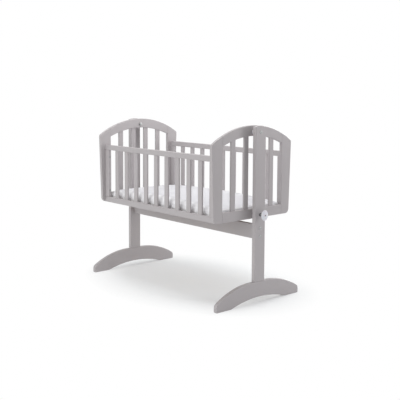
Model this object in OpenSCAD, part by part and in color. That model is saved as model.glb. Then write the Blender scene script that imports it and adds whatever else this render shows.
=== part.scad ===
// Swinging cradle on a stand.
// A slatted cradle hangs between two posts on one pivot bolt at each end, and
// swings sideways. Each post stands on an arched foot, one stretcher board
// ties the posts together, and a push-pull pin in the right post locks the
// cradle. Millimetres. X runs along the cradle, Y across it, +Z is up, the
// floor is Z = 0. The locking pin is drawn pulled out, so the cradle is free.

/* [Cradle] */
// Clear length between the two end panels
inner_length = 908; // [840:1:960]
// Clear width between the two side panels
inner_width = 456; // [420:1:480]
// Height of the cradle's underside above the floor
cradle_height = 413; // [395:1:440]
// Thickness of the end panels
end_thickness = 18; // [16:0.5:22]
// Thickness of the side panels
side_thickness = 18; // [16:0.5:22]
// Roundness of the long edges of rails, posts and slats
edge_radius = 3; // [1.5:0.5:4]

/* [End panels] */
// Height of the end panel, from its underside to the top of the arch
end_height = 462.5; // [430:0.5:480]
// How far the panel's foot stands out past the side panel, each side
end_overhang = 17; // [12:0.5:22]
// How much wider than at its foot the panel is at shoulder height, each side
end_flare = 13.5; // [6:0.5:16]
// Radius of the arch's top edge
arch_radius = 487; // [440:1:560]
// Radius of the arch's lower edge
arch_inner_radius = 508; // [470:1:600]
// Depth of the arch rail at the middle
arch_depth = 52; // [48:0.5:58]
// Height of the end panel's bottom rail
end_rail_height = 50; // [44:1:56]
// Width of the stile at its foot
stile_width = 56; // [50:1:60]
// Rounding of the two bottom corners
bottom_corner_radius = 24; // [15:1:30]
// Rounding of the two shoulders under the arch
shoulder_radius = 13; // [8:1:20]
// Number of slats in an end panel
end_slat_count = 4; // [3:1:5]

/* [Side panels] */
// Height of the side panel, over both rails
side_height = 322; // [300:1:340]
// Height of the top rail
side_top_rail_height = 28; // [26:1:32]
// Height of the bottom rail
side_bottom_rail_height = 30; // [28:1:34]
// Width of the end stiles
side_stile_width = 34; // [30:1:38]
// Number of slats in a side panel
side_slat_count = 9; // [8:1:10]

/* [Slats] */
// Width of a slat
slat_width = 30; // [26:0.5:34]
// Thickness of a slat
slat_thickness = 10; // [8:0.5:12]
// Rounding of a slat's edges
slat_edge_radius = 2.5; // [1:0.5:3.5]
// Depth of a slat's end in its mortise
tenon_depth = 9; // [6:0.5:12]

/* [Stand] */
// Gap between the end panel and the post
swing_gap = 29; // [24:0.5:32]
// Width of a post
post_width = 70; // [60:1:80]
// Thickness of a post
post_thickness = 22; // [18:0.5:26]
// Height of the post's top above the pivot
post_above_pivot = 32; // [26:0.5:40]
// Radius of the post's rounded top
post_top_radius = 100; // [80:1:160]
// Length of a foot
foot_length = 574; // [520:1:620]
// Height of a foot under the post
foot_height = 106; // [98:1:112]
// Thickness of a foot
foot_thickness = 22; // [18:0.5:26]
// Length of the flat middle of the foot's top edge
foot_flat = 100; // [86:1:120]
// Radius of the foot's sloping top edges
foot_top_radius = 431; // [415:1:480]
// Rounding of the foot's toes
toe_radius = 20; // [14:1:22]
// Rounding where the toe meets the floor
heel_radius = 5; // [2:0.5:6]
// Width of the arch cut under a foot
foot_arch_width = 380; // [350:1:400]
// Rise of the arch cut under a foot
foot_arch_rise = 29.5; // [24:0.5:34]
// Height of the stretcher board
stretcher_height = 74; // [66:1:84]
// Thickness of the stretcher board
stretcher_thickness = 18; // [18:0.5:22]
// Gap between the stretcher and the cradle's underside
stretcher_gap = 24; // [22:0.5:30]

/* [Pivots] */
// Distance from the top of the arch down to the pivot
pivot_down = 31.5; // [28:0.5:34]
// Diameter of the pivot bolt
pivot_bolt_diameter = 8; // [6:0.5:10]
// Diameter of the pivot bolt's head
pivot_head_diameter = 17; // [15:0.5:19]
// Height of the flat bolt heads
head_height = 2.5; // [2:0.1:3]
// Wall of the nylon bush in the end panel
pivot_bush_wall = 3; // [2:0.5:4]
// Diameter of the bush's flange and of the spacer
pivot_flange_diameter = 24; // [20:0.5:26]
// Thickness of the bush's flange
pivot_flange_thickness = 2; // [1.5:0.1:3]
// Diameter of the round cap nut
cap_nut_diameter = 16; // [14:0.5:18]
// Length of the cap nut
cap_nut_length = 8; // [7:0.5:10]
// Length of the cap nut's tapered end
cap_nut_dome = 2; // [1:0.5:3]
// Diameter of the washer under the cap nut
washer_diameter = 18; // [16:0.5:22]
// Thickness of the washer under the cap nut
washer_thickness = 1.5; // [1:0.1:2]
// Radial running clearance of the bolt and of the locking pin in their bushes
running_clearance = 0.05; // [0.02:0.01:0.08]
// Side play at each face of the swinging panel
side_play = 0.5; // [0.4:0.1:0.9]

/* [Locking pin] */
// Height of the pin above the cradle's underside
lock_up = 26; // [22:0.5:28]
// Diameter of the pin
pin_diameter = 8; // [7:0.5:9]
// Travel of the pin from pulled out to just short of the end panel
pin_travel = 12.5; // [8:0.5:14]
// Gap left between the pin's tip and the end panel after that travel
pin_tip_gap = 1.5; // [1:0.1:3]
// Distance from the post to the back of the pulled-out knob
knob_standoff = 28; // [26:0.5:34]
// Width of the oval knob
knob_width = 45; // [36:1:56]
// Height of the oval knob
knob_height = 53; // [42:1:60]
// Thickness of the knob at its middle
knob_thickness = 8; // [7:0.5:12]
// Thickness of the knob's rim
knob_rim = 4; // [3:0.5:5]
// Wall of the pin's bush in the post
lock_bush_wall = 2; // [1.5:0.5:3]
// Width of the bush's flange around its sleeve
lock_flange_width = 2; // [1.5:0.5:4]
// Thickness of the bush's flange
lock_flange_thickness = 2; // [1.5:0.1:3]
// How much wider than the pin the eyelet's bore is
eyelet_clearance = 1.4; // [1:0.1:2]
// Wall of the eyelet that takes the pin's tip
eyelet_wall = 1.8; // [1.2:0.1:2.5]
// Thickness of the eyelet's closed end
eyelet_floor = 2; // [1:0.5:4]
// Diameter of the pin's stop ring
stop_ring_diameter = 14; // [12:0.5:18]
// Thickness of the stop ring
stop_ring_thickness = 1.2; // [1:0.1:2]
// Depth of the pin's end below the knob's face
pin_end_recess = 3; // [1:0.5:4]

/* [Fastenings] */
// Diameter of the furniture bolts
bolt_diameter = 6; // [5:0.5:7]
// Extra diameter of the holes that bolts pass through
bolt_clearance = 0.6; // [0.4:0.1:1.2]
// Diameter of the stretcher bolts' heads
bolt_head_diameter = 16; // [13:0.5:17]
// Distance between the two stretcher bolts at a post
stretcher_bolt_pitch = 41; // [36:1:46]
// Distance from the stretcher's end to its barrel nuts
barrel_nut_inset = 32; // [26:1:40]
// Diameter of the barrel nuts
barrel_nut_diameter = 10; // [9:0.5:12]
// Length of the barrel nuts
barrel_nut_length = 14; // [12:0.5:15]
// Distance from the lower end of a side stile up to its lower corner bolt
corner_bolt_low = 36; // [30:1:60]
// Distance from the upper end of a side stile down to its upper corner bolt
corner_bolt_high = 40; // [30:1:80]
// Diameter of the corner bolts' heads
corner_head_diameter = 12; // [11:0.5:13]
// Depth that a corner bolt's head lies below the stile's edge
corner_head_recess = 1; // [0.5:0.1:2]
// Wall of the threaded inserts around the bolt
insert_wall = 2; // [1:0.5:3]
// Length of the threaded inserts
insert_length = 13; // [11:0.5:14]
// Diameter of the rail dowels
dowel_diameter = 8; // [6:0.5:9]
// Length of a rail dowel in each of its two pieces
dowel_reach = 15; // [10:0.5:18]
// Distance from the bottom rail's edges to its dowels
dowel_inset = 12; // [9:0.5:14]
// Distance from the arch rail's corners to its dowels
arch_dowel_inset = 17; // [15:0.5:18.5]
// Distance between the two dowels in the end of a side stile
side_dowel_pitch = 16; // [14:0.5:18]
// Diameter of the dowel between a post and its foot
foot_dowel_diameter = 10; // [8:0.5:12]
// Length of that dowel in each of its two pieces
foot_dowel_reach = 30; // [20:1:40]
// Diameter of the long screws through a foot into its post
foot_screw_diameter = 7; // [6:0.5:8]
// Distance between the two long screws of a foot
foot_screw_pitch = 42; // [36:1:46]
// Diameter of their heads
foot_screw_head = 12; // [10:0.5:13]
// Depth of their counterbores, from the arch's crown
foot_counterbore = 14; // [8:0.5:18]
// Length of thread in the post
foot_screw_bite = 48; // [35:1:60]

/* [Base and mattress] */
// Height of the battens that carry the base board
batten_height = 15; // [12:0.5:18]
// Width of the battens
batten_width = 15; // [12:0.5:20]
// Distance from a batten's end to the end panel
batten_end_gap = 24; // [15:1:60]
// Thickness of the base board
board_thickness = 3; // [3:0.5:5]
// Gap between the base board and the panels
board_gap = 2; // [1:0.5:4]
// Number of screws in a batten
batten_screw_count = 4; // [3:1:6]
// Diameter of the batten screws
batten_screw_diameter = 4; // [3:0.5:4.5]
// Reach of the batten screws into the rail
batten_screw_bite = 12; // [8:0.5:14]
// Gap between the mattress and the panels
mattress_gap = 5; // [3:0.5:10]
// Thickness of the mattress at its edge
mattress_thickness = 47; // [38:0.5:60]
// Extra height of the mattress's crown in the middle
mattress_crown = 7; // [3:0.5:12]
// How far the sides pull in midway between the corners
mattress_pinch = 3; // [1:0.5:6]
// How far the sides draw in at half thickness
mattress_waist = 1.2; // [0.4:0.2:3]
// Softness of the mattress's top and bottom edges
mattress_edge_radius = 5; // [3:0.5:8]
// Rounding of the mattress's four corners in plan
mattress_corner = 26; // [16:1:40]

/* [Hidden] */

LEFT = -1;
RIGHT = 1;
FRONT = -1;
REAR = 1;

// Faces along X, from the middle of the stand outwards
panel_in_x = inner_length / 2;
panel_out_x = panel_in_x + end_thickness;
panel_mid_x = (panel_in_x + panel_out_x) / 2;
post_in_x = panel_out_x + swing_gap;
post_out_x = post_in_x + post_thickness;
foot_mid_x = post_in_x + post_thickness / 2;

// Faces along Y, from the middle outwards
side_in_y = inner_width / 2;
side_out_y = side_in_y + side_thickness;
side_mid_y = (side_in_y + side_out_y) / 2;

// Heights
cradle_z = cradle_height;
panel_apex_z = cradle_z + end_height;
pivot_z = panel_apex_z - pivot_down;
post_top_z = pivot_z + post_above_pivot;
lock_z = cradle_z + lock_up;
stretcher_top_z = cradle_z - stretcher_gap;
stretcher_mid_z = stretcher_top_z - stretcher_height / 2;

// End panel outline, in Y and Z
panel_foot_y = side_out_y + end_overhang;
panel_shoulder_y = panel_foot_y + end_flare;
arch_centre = [0, panel_apex_z - arch_radius];
arch_inner_centre = [0, panel_apex_z - arch_depth - arch_inner_radius];
panel_foot = [panel_foot_y, cradle_z];
panel_shoulder = [panel_shoulder_y, circle_height(arch_centre, arch_radius, panel_shoulder_y)];
panel_edge = unit(panel_shoulder - panel_foot);
stile_inner_y = panel_foot_y - stile_width;
arch_end_bottom_z = circle_height(arch_inner_centre, arch_inner_radius, stile_inner_y);
arch_end_top_z = circle_height(arch_centre, arch_radius, stile_inner_y);

// Slats
end_slat_gap = (2 * stile_inner_y - end_slat_count * slat_width) / (end_slat_count + 1);
end_slat_pitch = slat_width + end_slat_gap;
side_opening = inner_length - 2 * side_stile_width;
side_slat_gap = (side_opening - side_slat_count * slat_width) / (side_slat_count + 1);
side_slat_pitch = slat_width + side_slat_gap;
side_stile_bottom_z = cradle_z + side_bottom_rail_height;
side_stile_top_z = cradle_z + side_height - side_top_rail_height;
side_stile_mid_x = panel_in_x - side_stile_width / 2;

// Foot outline, in Y and Z
foot_half = foot_length / 2;
foot_slope_centre = [foot_flat / 2, foot_height - foot_top_radius];
foot_arch_half = foot_arch_width / 2;
foot_arch_radius = (pow(foot_arch_half, 2) + pow(foot_arch_rise, 2)) / (2 * foot_arch_rise);
foot_seat_z = foot_arch_rise + foot_counterbore;

// Stretcher bolts go through their barrel nuts and as far again
stretcher_bolt_reach = barrel_nut_inset + barrel_nut_diameter;

// Pivot, outwards from inside the cradle
pivot_nut_x = panel_in_x - side_play - washer_thickness;
pivot_tip_x = pivot_nut_x - cap_nut_length + cap_nut_dome;
pivot_spacer_x = panel_out_x + pivot_flange_thickness + side_play;
pivot_bush_bore = pivot_bolt_diameter + 2 * running_clearance;
pivot_bush_diameter = pivot_bush_bore + 2 * pivot_bush_wall;

// Locking pin
pin_tip_x = panel_out_x + pin_tip_gap + pin_travel;
knob_back_x = post_out_x + knob_standoff;
knob_face_x = knob_back_x + knob_thickness;
pin_end_x = knob_face_x - pin_end_recess;
ring_gap = 0.3;
ring_x = post_in_x - ring_gap - stop_ring_thickness;
lock_bush_bore = pin_diameter + 2 * running_clearance;
lock_bush_diameter = lock_bush_bore + 2 * lock_bush_wall;
lock_flange_diameter = lock_bush_diameter + 2 * lock_flange_width;
eyelet_bore = pin_diameter + eyelet_clearance;
eyelet_diameter = eyelet_bore + 2 * eyelet_wall;
eyelet_length = end_thickness - eyelet_floor;

// Corner bolts
corner_bolt_zs = [side_stile_bottom_z + corner_bolt_low, side_stile_top_z - corner_bolt_high];
insert_diameter = bolt_diameter + 2 * insert_wall;
corner_head_x = panel_in_x - side_stile_width + corner_head_recess;

// Base and mattress
batten_length = inner_length - 2 * batten_end_gap;
board_z = cradle_z + batten_height;
mattress_z = board_z + board_thickness;
mattress_half_x = panel_in_x - mattress_gap;
mattress_half_y = side_in_y - mattress_gap;
batten_screw_z = cradle_z + batten_height / 2;
batten_screw_head = 2 * batten_screw_diameter;
batten_screw_head_height = batten_screw_diameter / 2;

// Middle of the overall box along X: from the left bolt heads to the knob
box_mid_x = (knob_face_x - post_out_x - head_height) / 2;

painted = [0.66, 0.645, 0.65];
steel = [0.78, 0.78, 0.76];
zinc = [0.7, 0.72, 0.7];
white_nylon = [0.9, 0.9, 0.93];
black_nylon = [0.08, 0.08, 0.08];
beech = [0.8, 0.66, 0.48];
pine = [0.84, 0.71, 0.5];
hardboard = [0.4, 0.27, 0.17];
cotton = [0.93, 0.93, 0.95];

// Helpers ----------------------------------------------------------------

overcut = 1;

function unit(v) = v / norm(v);

// Height of a circle's upper half at distance y
function circle_height(centre, radius, y) =
    centre[1] + sqrt(pow(radius, 2) - pow(y - centre[0], 2));

// A rounded corner is [centre, touching point, touching point, radius].
// This one lies between a straight edge, from a point along a direction, and
// the circle that the edge crosses. The solid lies to the left of the edge.
function line_arc_corner(from, along, centre, radius, r) =
    let (inward = [-along[1], along[0]],
         start = from + inward * r - centre,
         run = -start * along + sqrt(pow(start * along, 2) - start * start + pow(radius - r, 2)),
         c = from + inward * r + along * run)
    [c, c - inward * r, centre + unit(c - centre) * radius, r];

// The corner between level ground at height z and a straight edge that rises
// from a point along a direction
function ground_corner(from, along, r) =
    let (inward = [-along[1], along[0]],
         c = from + inward * r + along * (r * (1 - inward[1]) / along[1]))
    [c, c - [0, r], c - inward * r, r];

function flipped(p) = [-p[0], p[1]];

function both_corners(k) = [k, [flipped(k[0]), flipped(k[1]), flipped(k[2]), k[3]]];

// A kite from a corner's centre through its touching points, reaching past the outline
module corner_patch(k) {
    spread = 1.2;
    bisector = unit(unit(k[1] - k[0]) + unit(k[2] - k[0]));
    reach = k[3] / (bisector * unit(k[1] - k[0]));
    translate(k[0]) polygon(spread * [[0, 0], k[1] - k[0], reach * bisector, k[2] - k[0]]);
}

// Rounds the corners of an outline. The arcs are drawn a hair full, so that
// they cross the edges that they would otherwise just touch.
module round_corners(corners) {
    fullness = 0.02;
    difference() {
        children();
        for (k = corners) difference() {
            corner_patch(k);
            translate(k[0]) circle(k[3] + fullness, $fn = 96);
        }
    }
}

module both_sides() {
    children();
    mirror([1, 0]) children();
}

// Extrudes an outline drawn in Y and Z along X
module board_x(x, thickness) {
    translate([x, 0, 0]) rotate([90, 0, 90]) linear_extrude(thickness) children();
}

// A rectangle with round corners
module soft_section(width, height, r) {
    square([width - 2 * r, height], center = true);
    square([width, height - 2 * r], center = true);
    for (x = [-1, 1], y = [-1, 1])
        translate([x * (width / 2 - r), y * (height / 2 - r)]) circle(r, $fn = 48);
}

// A straight bar along X with soft long edges
module bar_x(x, y, z, length, width, height, r) {
    translate([x, y, z]) rotate([90, 0, 90])
        linear_extrude(length, center = true) soft_section(width, height, r);
}

module rod_x(x, y, z, length, diameter) {
    translate([x, y, z]) rotate([0, 90, 0]) cylinder(h = length, d = diameter, $fn = 64);
}

module rod_y(x, y, z, length, diameter) {
    translate([x, y, z]) rotate([-90, 0, 0]) cylinder(h = length, d = diameter, $fn = 64);
}

module rod_z(x, y, z, length, diameter) {
    translate([x, y, z]) cylinder(h = length, d = diameter, $fn = 64);
}

// Turns a solid drawn for the right-hand end to either end
module at_end(end) {
    mirror([end == LEFT ? 1 : 0, 0, 0]) children();
}

module at_both_ends() {
    at_end(RIGHT) children();
    at_end(LEFT) children();
}

// Turns a solid drawn for the rear side to either side
module at_side(side) {
    mirror([0, side == FRONT ? 1 : 0, 0]) children();
}

module at_corners() {
    at_both_ends() {
        at_side(REAR) children();
        at_side(FRONT) children();
    }
}

// A low bolt head with a hexagon socket, standing on the face at x
module bolt_head(x, y, z, diameter, bolt, height) {
    socket_across_corners = bolt * 0.77;
    socket_floor = height * 0.35;
    chamfer = height * 0.3;
    translate([x, y, z]) rotate([0, 90, 0]) difference() {
        union() {
            cylinder(h = height - chamfer, d = diameter, $fn = 64);
            translate([0, 0, height - chamfer])
                cylinder(h = chamfer, d1 = diameter, d2 = diameter - 2 * chamfer, $fn = 64);
        }
        translate([0, 0, socket_floor]) cylinder(h = height, d = socket_across_corners, $fn = 6);
    }
}

// Stand --------------------------------------------------------------------

module post_outline() {
    translate([0, post_top_z - post_top_radius]) circle(post_top_radius, $fn = 180);
    translate([-post_width / 2, foot_height])
        square([post_width, post_top_z - post_top_radius - foot_height]);
}

module stretcher_bolt_places() {
    for (z = [-1, 1]) translate([0, 0, stretcher_mid_z + z * stretcher_bolt_pitch / 2]) children();
}

module foot_screw_places() {
    for (y = [-1, 1]) translate([0, y * foot_screw_pitch / 2, 0]) children();
}

module post(end) color(painted) at_end(end) difference() {
    intersection() {
        translate([foot_mid_x, 0, foot_height])
            linear_extrude(post_top_z - foot_height) soft_section(post_thickness, post_width, edge_radius);
        board_x(post_in_x, post_thickness) post_outline();
    }
    rod_x(post_in_x - overcut, 0, pivot_z, post_thickness + 2 * overcut,
          pivot_bolt_diameter + bolt_clearance);
    stretcher_bolt_places()
        rod_x(post_in_x - overcut, 0, 0, post_thickness + 2 * overcut, bolt_diameter + bolt_clearance);
    rod_z(foot_mid_x, 0, foot_height - overcut, foot_dowel_reach + overcut, foot_dowel_diameter);
    foot_screw_places()
        rod_z(foot_mid_x, 0, foot_height - overcut, foot_screw_bite + overcut, foot_screw_diameter);
    if (end == RIGHT)
        rod_x(post_in_x - overcut, 0, lock_z, post_thickness + 2 * overcut, lock_bush_diameter);
}

// One sloping end of a foot's top edge, an arc that leaves the flat middle smoothly
module foot_slope() {
    intersection() {
        translate(foot_slope_centre) circle(foot_top_radius, $fn = 360);
        translate([foot_flat / 2, 0]) square([foot_half - foot_flat / 2, foot_height + overcut]);
    }
}

module foot_outline() {
    toe = [foot_half, 0];
    corners = concat(
        both_corners(line_arc_corner(toe, [0, 1], foot_slope_centre, foot_top_radius, toe_radius)),
        both_corners(ground_corner(toe, [0, 1], heel_radius)));
    difference() {
        round_corners(corners) {
            translate([-foot_flat / 2, 0]) square([foot_flat, foot_height]);
            both_sides() foot_slope();
        }
        translate([0, foot_arch_rise - foot_arch_radius]) circle(foot_arch_radius, $fn = 360);
    }
}

module foot(end) color(painted) at_end(end) difference() {
    board_x(foot_mid_x - foot_thickness / 2, foot_thickness) foot_outline();
    rod_z(foot_mid_x, 0, foot_height - foot_dowel_reach, foot_dowel_reach + overcut, foot_dowel_diameter);
    foot_screw_places() {
        rod_z(foot_mid_x, 0, 0, foot_height + overcut, foot_screw_diameter + bolt_clearance);
        rod_z(foot_mid_x, 0, 0, foot_seat_z, foot_screw_head + bolt_clearance);
    }
}

module stretcher() color(painted) difference() {
    bar_x(0, 0, stretcher_mid_z, 2 * post_in_x, stretcher_thickness, stretcher_height, edge_radius);
    at_both_ends() stretcher_bolt_places() {
        rod_x(post_in_x - stretcher_bolt_reach - overcut, 0, 0, stretcher_bolt_reach + 2 * overcut,
              bolt_diameter + bolt_clearance);
        rod_y(post_in_x - barrel_nut_inset, -barrel_nut_length / 2, 0,
              (barrel_nut_length + stretcher_thickness) / 2 + overcut, barrel_nut_diameter);
    }
}

module stretcher_bolts() color(zinc) at_both_ends() stretcher_bolt_places() {
    bolt_head(post_out_x, 0, 0, bolt_head_diameter, bolt_diameter, head_height);
    rod_x(post_in_x - stretcher_bolt_reach, 0, 0, stretcher_bolt_reach + post_thickness, bolt_diameter);
}

module stretcher_barrel_nuts() color(steel) at_both_ends() stretcher_bolt_places() difference() {
    rod_y(post_in_x - barrel_nut_inset, -barrel_nut_length / 2, 0, barrel_nut_length, barrel_nut_diameter);
    rod_x(post_in_x - stretcher_bolt_reach, 0, 0, stretcher_bolt_reach, bolt_diameter);
}

module foot_screws() color(steel) at_both_ends() foot_screw_places() {
    rod_z(foot_mid_x, 0, foot_seat_z - head_height, head_height, foot_screw_head);
    rod_z(foot_mid_x, 0, foot_seat_z, foot_height + foot_screw_bite - foot_seat_z, foot_screw_diameter);
}

module foot_dowels() color(beech) at_both_ends()
    rod_z(foot_mid_x, 0, foot_height - foot_dowel_reach, 2 * foot_dowel_reach, foot_dowel_diameter);

// Pivots -------------------------------------------------------------------

module pivot_bolts() color(zinc) at_both_ends() {
    bolt_head(post_out_x, 0, pivot_z, pivot_head_diameter, pivot_bolt_diameter, head_height);
    rod_x(pivot_tip_x, 0, pivot_z, post_out_x - pivot_tip_x, pivot_bolt_diameter);
}

module pivot_spacers() color(white_nylon) at_both_ends() difference() {
    rod_x(pivot_spacer_x, 0, pivot_z, post_in_x - pivot_spacer_x, pivot_flange_diameter);
    rod_x(pivot_spacer_x - overcut, 0, pivot_z, post_in_x - pivot_spacer_x + 2 * overcut,
          pivot_bolt_diameter + bolt_clearance);
}

module pivot_washers() color(steel) at_both_ends() difference() {
    rod_x(pivot_nut_x, 0, pivot_z, washer_thickness, washer_diameter);
    rod_x(pivot_nut_x - overcut, 0, pivot_z, washer_thickness + 2 * overcut,
          pivot_bolt_diameter + bolt_clearance);
}

module pivot_cap_nuts() color(zinc) at_both_ends() {
    straight = cap_nut_length - cap_nut_dome;
    end_diameter = cap_nut_diameter - 3 * cap_nut_dome;
    translate([pivot_nut_x, 0, pivot_z]) rotate([0, -90, 0]) difference() {
        union() {
            cylinder(h = straight, d = cap_nut_diameter, $fn = 64);
            translate([0, 0, straight])
                cylinder(h = cap_nut_dome, d1 = cap_nut_diameter, d2 = end_diameter, $fn = 64);
        }
        translate([0, 0, -overcut]) cylinder(h = straight + overcut, d = pivot_bolt_diameter, $fn = 64);
    }
}

module pivot_bushes() color(white_nylon) at_both_ends() difference() {
    union() {
        rod_x(panel_in_x, 0, pivot_z, end_thickness, pivot_bush_diameter);
        rod_x(panel_out_x, 0, pivot_z, pivot_flange_thickness, pivot_flange_diameter);
    }
    rod_x(panel_in_x - overcut, 0, pivot_z, end_thickness + pivot_flange_thickness + 2 * overcut,
          pivot_bush_bore);
}

// Locking pin --------------------------------------------------------------

module lock_bush() color(black_nylon) difference() {
    union() {
        rod_x(post_in_x, 0, lock_z, post_thickness, lock_bush_diameter);
        rod_x(post_out_x, 0, lock_z, lock_flange_thickness, lock_flange_diameter);
    }
    rod_x(post_in_x - overcut, 0, lock_z, post_thickness + lock_flange_thickness + 2 * overcut,
          lock_bush_bore);
}

module lock_pin() color(steel) {
    tip = pin_diameter * 0.15;
    rod_x(pin_tip_x + tip, 0, lock_z, pin_end_x - pin_tip_x - tip, pin_diameter);
    translate([pin_tip_x, 0, lock_z]) rotate([0, 90, 0])
        cylinder(h = tip, d1 = pin_diameter - 2 * tip, d2 = pin_diameter, $fn = 64);
}

module lock_stop_ring() color(steel) difference() {
    rod_x(ring_x, 0, lock_z, stop_ring_thickness, stop_ring_diameter);
    rod_x(ring_x - overcut, 0, lock_z, stop_ring_thickness + 2 * overcut, pin_diameter);
}

// A slice of the oval knob, its outline pulled in by inset
module knob_slice(height, inset) {
    size = [knob_width - 2 * inset, knob_height - 2 * inset];
    linear_extrude(height) resize(size) circle(d = knob_height, $fn = 32);
}

module lock_knob() color(white_nylon) difference() {
    translate([knob_back_x, 0, lock_z]) rotate([90, 0, 90]) {
        softening = knob_rim * 0.3;
        hull() {
            knob_slice(knob_rim, softening);
            translate([0, 0, softening]) knob_slice(knob_rim - 2 * softening, 0);
        }
        hull() {
            knob_slice(knob_rim, softening);
            knob_slice((knob_rim + knob_thickness) / 2, knob_width * 0.16);
            knob_slice(knob_thickness, knob_width * 0.3);
        }
    }
    rod_x(knob_back_x - overcut, 0, lock_z, knob_thickness + 2 * overcut, pin_diameter);
}

module lock_eyelet() color(black_nylon) difference() {
    rod_x(panel_out_x - eyelet_length, 0, lock_z, eyelet_length, eyelet_diameter);
    rod_x(panel_out_x - eyelet_length + eyelet_floor, 0, lock_z, eyelet_length, eyelet_bore);
}

// End panels ---------------------------------------------------------------

module end_outline() {
    tall = panel_foot + panel_edge * (end_height / panel_edge[1]);
    corners = concat(
        both_corners(line_arc_corner(panel_foot, panel_edge, arch_centre, arch_radius, shoulder_radius)),
        both_corners(ground_corner(panel_foot, panel_edge, bottom_corner_radius)));
    round_corners(corners) intersection() {
        polygon([panel_foot, tall, flipped(tall), flipped(panel_foot)]);
        translate(arch_centre) circle(arch_radius, $fn = 360);
    }
}

module end_dowel_places() {
    for (z = [cradle_z + dowel_inset, cradle_z + end_rail_height - dowel_inset,
              arch_end_bottom_z + arch_dowel_inset, arch_end_top_z - arch_dowel_inset])
        translate([0, 0, z]) children();
}

module end_dowel() rod_y(panel_mid_x, stile_inner_y - dowel_reach, 0, 2 * dowel_reach, dowel_diameter);

module corner_bolt_places() {
    for (z = corner_bolt_zs) translate([0, side_mid_y, z]) children();
}

module end_stile(end, side) color(painted) at_end(end) at_side(side) difference() {
    board_x(panel_in_x, end_thickness) intersection() {
        end_outline();
        translate([stile_inner_y, cradle_z]) square([panel_shoulder_y, end_height]);
    }
    end_dowel_places() end_dowel();
    corner_bolt_places() rod_x(panel_in_x - overcut, 0, 0, insert_length + overcut, insert_diameter);
}

module arch_rail(end) color(painted) at_end(end) difference() {
    board_x(panel_in_x, end_thickness) difference() {
        intersection() {
            end_outline();
            translate([-stile_inner_y, arch_end_bottom_z - overcut])
                square([2 * stile_inner_y, end_height]);
        }
        translate(arch_inner_centre) circle(arch_inner_radius, $fn = 360);
    }
    rod_x(panel_in_x - overcut, 0, pivot_z, end_thickness + 2 * overcut, pivot_bush_diameter);
    for (side = [FRONT, REAR]) at_side(side) end_dowel_places() end_dowel();
    for (i = [1:end_slat_count]) end_slat_bar(i);
}

module end_bottom_rail(end) color(painted) at_end(end) difference() {
    translate([panel_in_x, -stile_inner_y, cradle_z])
        cube([end_thickness, 2 * stile_inner_y, end_rail_height]);
    for (side = [FRONT, REAR]) at_side(side) end_dowel_places() end_dowel();
    for (i = [1:end_slat_count]) end_slat_bar(i);
    if (end == RIGHT)
        rod_x(panel_out_x - eyelet_length, 0, lock_z, eyelet_length + overcut, eyelet_diameter);
}

function end_slat_y(i) = (i - (end_slat_count + 1) / 2) * end_slat_pitch;

// Top of a slat: a tenon's depth above the arch, at the slat's edge nearer the middle
function end_slat_top(i) =
    let (y = max(0, abs(end_slat_y(i)) - slat_width / 2))
    circle_height(arch_inner_centre, arch_inner_radius, y) + tenon_depth;

module end_slat_bar(i) {
    bottom = cradle_z + end_rail_height - tenon_depth;
    translate([panel_mid_x, end_slat_y(i), bottom])
        linear_extrude(end_slat_top(i) - bottom) soft_section(slat_thickness, slat_width, slat_edge_radius);
}

module end_slat(end, i) color(painted) at_end(end) end_slat_bar(i);

module end_panel_dowels() color(beech) at_corners() end_dowel_places() end_dowel();

// Side panels --------------------------------------------------------------

module side_rail(side, top) color(painted) at_side(side) difference() {
    height = top ? side_top_rail_height : side_bottom_rail_height;
    middle = top ? cradle_z + side_height - height / 2 : cradle_z + height / 2;
    bar_x(0, side_mid_y, middle, inner_length, side_thickness, height, edge_radius);
    for (i = [1:side_slat_count]) side_slat_bar(i);
    at_both_ends() side_dowel_places() side_dowel();
    if (!top) batten_screw_places() batten_screw_shank();
}

module side_stile(side, end) color(painted) at_end(end) at_side(side) difference() {
    translate([side_stile_mid_x, side_mid_y, side_stile_bottom_z])
        linear_extrude(side_stile_top_z - side_stile_bottom_z)
            soft_section(side_stile_width, side_thickness, edge_radius);
    side_dowel_places() side_dowel();
    corner_bolt_places() {
        rod_x(panel_in_x - side_stile_width - overcut, 0, 0, side_stile_width + 2 * overcut,
              bolt_diameter + bolt_clearance);
        rod_x(corner_head_x - corner_head_recess - overcut, 0, 0,
              overcut + corner_head_recess + head_height, corner_head_diameter + bolt_clearance);
    }
}

module side_slat_bar(i) {
    bottom = side_stile_bottom_z - tenon_depth;
    translate([(i - (side_slat_count + 1) / 2) * side_slat_pitch, side_mid_y, bottom])
        linear_extrude(side_stile_top_z + tenon_depth - bottom)
            soft_section(slat_width, slat_thickness, slat_edge_radius);
}

module side_slats(side) color(painted) at_side(side) for (i = [1:side_slat_count]) side_slat_bar(i);

module side_dowel_places() {
    for (x = [-1, 1], z = [side_stile_bottom_z, side_stile_top_z])
        translate([side_stile_mid_x + x * side_dowel_pitch / 2, side_mid_y, z]) children();
}

module side_dowel() rod_z(0, 0, -dowel_reach, 2 * dowel_reach, dowel_diameter);

module side_panel_dowels() color(beech) at_corners() side_dowel_places() side_dowel();

// Corner fastenings ----------------------------------------------------------

module corner_bolts() color(zinc) at_corners() corner_bolt_places() {
    under_head = corner_head_x + head_height;
    mirror([1, 0, 0]) bolt_head(-under_head, 0, 0, corner_head_diameter, bolt_diameter, head_height);
    rod_x(under_head, 0, 0, panel_in_x + insert_length - under_head, bolt_diameter);
}

module corner_inserts() color(steel) at_corners() corner_bolt_places() difference() {
    rod_x(panel_in_x, 0, 0, insert_length, insert_diameter);
    rod_x(panel_in_x - overcut, 0, 0, insert_length + 2 * overcut, bolt_diameter);
}

// Base and mattress ----------------------------------------------------------

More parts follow.
